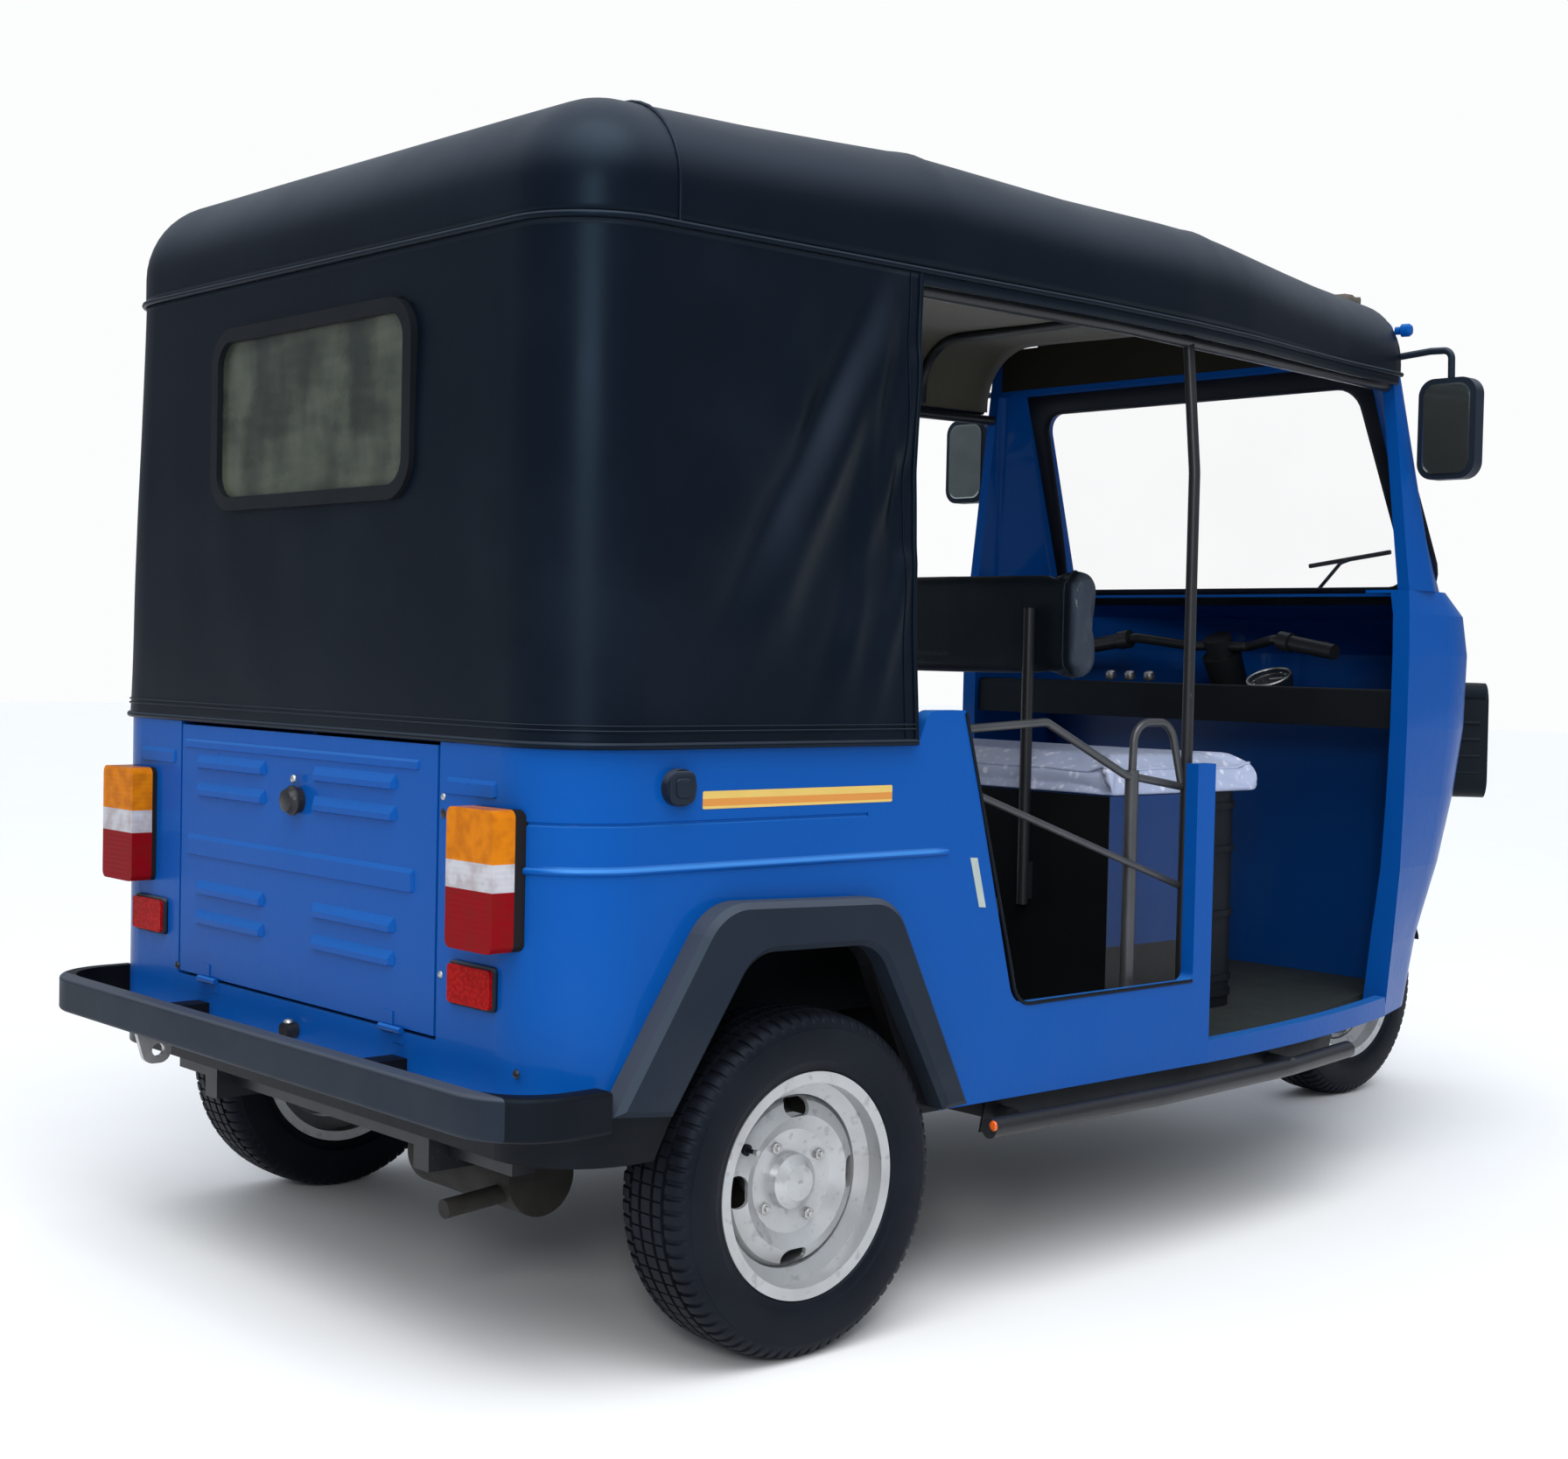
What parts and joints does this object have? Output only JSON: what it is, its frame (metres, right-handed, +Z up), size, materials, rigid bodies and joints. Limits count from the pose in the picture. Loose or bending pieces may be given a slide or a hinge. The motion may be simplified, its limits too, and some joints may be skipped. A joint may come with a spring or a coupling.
{
  "type": "auto rickshaw",
  "caption": "Three-wheeled passenger vehicle with a canopy: driver's bench and handlebar in front, passenger bench behind, luggage deck with a drop-down rear hatch.",
  "frame": {"origin": "on the floor under the middle of the vehicle's overall length and width", "axes": "+Z up, front wheel towards -Y, +X to the vehicle's left as the driver sits"},
  "size_m": [1.4326, 3.174, 1.8109],
  "materials": {
    "body_paint": "gloss blue paint",
    "deep_paint": "satin dark blue paint",
    "black_paint": "satin black paint",
    "wheel_paint": "silver paint",
    "steel": "bare steel",
    "iron": "dark casting",
    "tyre": "moulded tread",
    "rubber": "black rubber",
    "black_plastic": "grained black plastic",
    "mirror": "silvered glass",
    "glass": "clear laminated glass",
    "pane": "cloudy flexible sheet",
    "canopy": "coated canopy cloth",
    "liner": "woven backing cloth",
    "seat_blue": "vinyl cover",
    "seat_black": "vinyl cover",
    "lamp": "red and amber lens",
    "reflector": "red prism lens",
    "headlamp": "moulded headlamp lens"
  },
  "bodies": {
    "body": {"side_panel_left": "body_paint", "side_panel_right": "body_paint", "rear_panel": "body_paint", "floor_pan": "deep_paint", "rear_deck": "deep_paint", "chassis_frame": "black_paint", "engine": "iron", "silencer": "iron", "trailing_arms": "iron", "front_cowl": "body_paint", "inner_front_panel": "deep_paint", "windscreen_frame": "body_paint", "windscreen": "glass", "wiper": "black_plastic", "front_visor": "black_plastic", "dashboard": "black_plastic", "headlamp_surrounds": "black_plastic", "headlamps": "headlamp", "mirrors": "mirror", "canopy_roof": "canopy", "roof_liner": "liner", "canopy_curtain": "canopy", "rear_window_rubber": "rubber", "rear_window": "pane", "canopy_frame": "black_paint", "driver_seat_base": "deep_paint", "seat_front_cover": "black_plastic", "driver_cushion": "seat_blue", "driver_backrest": "seat_black", "seat_uprights": "black_paint", "passenger_seat_base": "deep_paint", "passenger_cushion": "seat_blue", "passenger_backrest": "seat_black", "side_guards": "black_paint", "tail_lamps": "lamp", "reflectors": "reflector", "fuel_cap": "black_plastic", "hatch_buffer": "rubber", "rear_bumper": "black_plastic", "tow_eye": "steel", "wheel_arches": "black_plastic", "side_steps": "black_plastic"},
    "rear_hatch": {"rear_hatch": "body_paint", "hatch_lock": "steel"},
    "steering": {"front_fork": "black_paint", "front_mudguard": "black_plastic", "handlebar": "black_plastic"},
    "front_wheel": {"front_tyre": "tyre", "front_rim": "wheel_paint"},
    "rear_wheel_left": {"rear_tyre_left": "tyre", "rear_rim_left": "wheel_paint"},
    "rear_wheel_right": {"rear_tyre_right": "tyre", "rear_rim_right": "wheel_paint"}
  },
  "joints": [
    {"name": "rear_wheel_left_spin", "type": "hinge", "parent": "body", "child": "rear_wheel_left", "pos_m": [0.642, 1.04, 0.254], "axis": [1, 0, 0], "continuous": true},
    {"name": "rear_wheel_right_spin", "type": "hinge", "parent": "body", "child": "rear_wheel_right", "pos_m": [-0.642, 1.04, 0.254], "axis": [1, 0, 0], "continuous": true},
    {"name": "steering_turn", "type": "hinge", "parent": "body", "child": "steering", "pos_m": [0, -1.1379, 0.505], "axis": [0, 0.454, 0.891], "range_deg": [-35, 35]},
    {"name": "front_wheel_spin", "type": "hinge", "parent": "steering", "child": "front_wheel", "pos_m": [0, -1.33, 0.254], "axis": [1, 0, 0], "continuous": true},
    {"name": "rear_hatch_hinge", "type": "hinge", "parent": "body", "child": "rear_hatch", "pos_m": [0, 1.4855, 0.467], "axis": [-1, 0, 0], "range_deg": [0, 88]}
  ]
}
